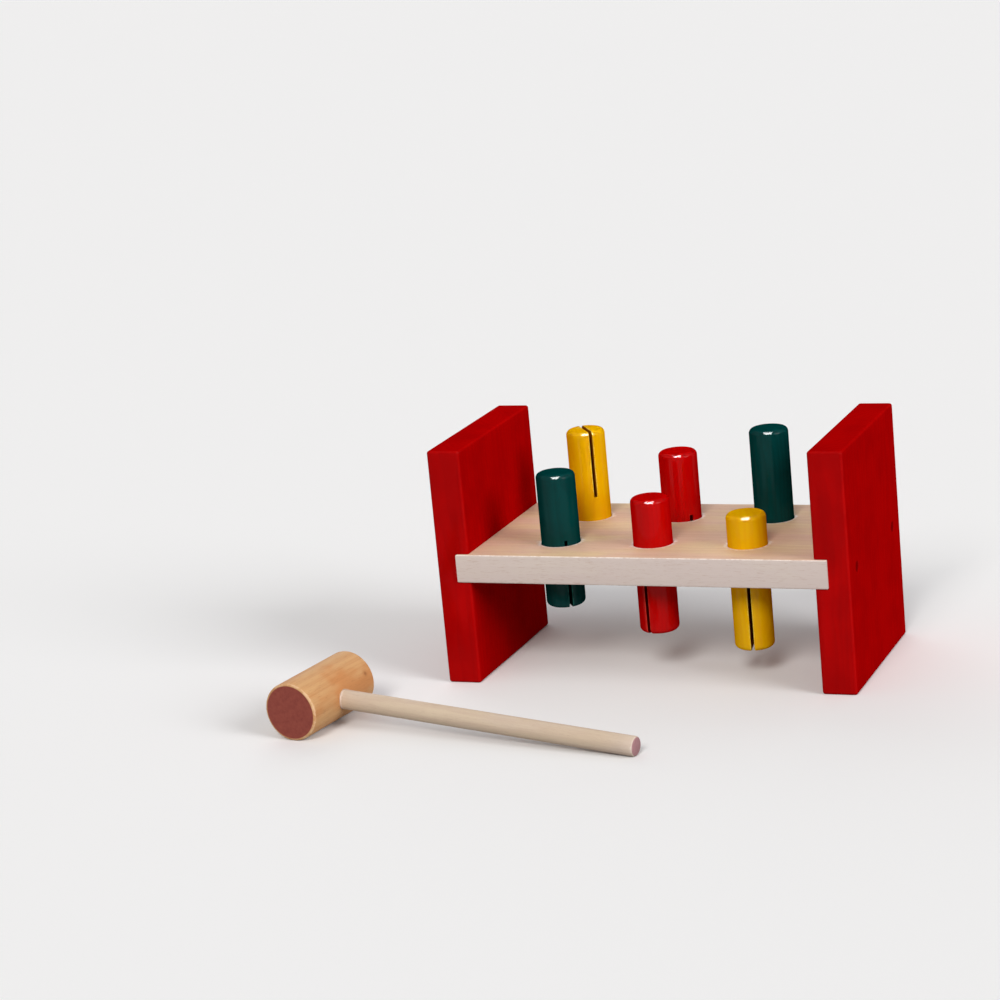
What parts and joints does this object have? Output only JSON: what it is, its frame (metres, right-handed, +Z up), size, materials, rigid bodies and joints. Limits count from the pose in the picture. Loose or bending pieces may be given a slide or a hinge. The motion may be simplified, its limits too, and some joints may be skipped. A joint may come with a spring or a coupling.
{
  "type": "peg pounding bench",
  "caption": "Wooden pounding bench: two end boards carry a grooved-in plank; slotted round pegs slide through it by friction, and a loose mallet drives them down.",
  "frame": {"origin": "centre of the whole set's footprint on the table, bench and mallet together, at table height", "axes": "+X along the bench from the left end board to the right one, +Y from the front of the bench to its back, +Z up"},
  "size_m": [0.28, 0.2038, 0.125],
  "materials": {
    "red_paint": "satin-gloss paint on wood",
    "red_peg_paint": "gloss paint on wood",
    "green_paint": "gloss paint on wood",
    "yellow_paint": "gloss paint on wood",
    "plank_wood": "bare sanded pale wood",
    "dowel_wood": "bare dowel, painted over at its outer end",
    "mallet_head_wood": "clear satin varnish",
    "mallet_handle_wood": "bare sanded wood"
  },
  "bodies": {
    "bench": {"left_end_board": "red_paint", "right_end_board": "red_paint", "plank": "plank_wood", "left_front_dowel": "dowel_wood", "left_back_dowel": "dowel_wood", "right_front_dowel": "dowel_wood", "right_back_dowel": "dowel_wood"},
    "front_left_peg": {"front_left_peg": "green_paint"},
    "front_middle_peg": {"front_middle_peg": "red_peg_paint"},
    "front_right_peg": {"front_right_peg": "yellow_paint"},
    "back_left_peg": {"back_left_peg": "yellow_paint"},
    "back_middle_peg": {"back_middle_peg": "red_peg_paint"},
    "back_right_peg": {"back_right_peg": "green_paint"},
    "mallet": {"mallet_head": "mallet_head_wood", "mallet_handle": "mallet_handle_wood"}
  },
  "joints": [
    {"name": "front_left_peg_slide", "type": "slide", "parent": "bench", "child": "front_left_peg", "axis": [0, 0, 1], "range_m": [-0.03552, 0.01648]},
    {"name": "front_middle_peg_slide", "type": "slide", "parent": "bench", "child": "front_middle_peg", "axis": [0, 0, 1], "range_m": [-0.02264, 0.02936]},
    {"name": "front_right_peg_slide", "type": "slide", "parent": "bench", "child": "front_right_peg", "axis": [0, 0, 1], "range_m": [-0.0148, 0.0372]},
    {"name": "back_left_peg_slide", "type": "slide", "parent": "bench", "child": "back_left_peg", "axis": [0, 0, 1], "range_m": [-0.04616, 0.00584]},
    {"name": "back_middle_peg_slide", "type": "slide", "parent": "bench", "child": "back_middle_peg", "axis": [0, 0, 1], "range_m": [-0.0344, 0.0176]},
    {"name": "back_right_peg_slide", "type": "slide", "parent": "bench", "child": "back_right_peg", "axis": [0, 0, 1], "range_m": [-0.04672, 0.00528]},
    {"name": "mallet_lift", "type": "slide", "parent": "bench", "child": "mallet", "axis": [0, 0, 1], "range_m": [0, 0.16]}
  ]
}
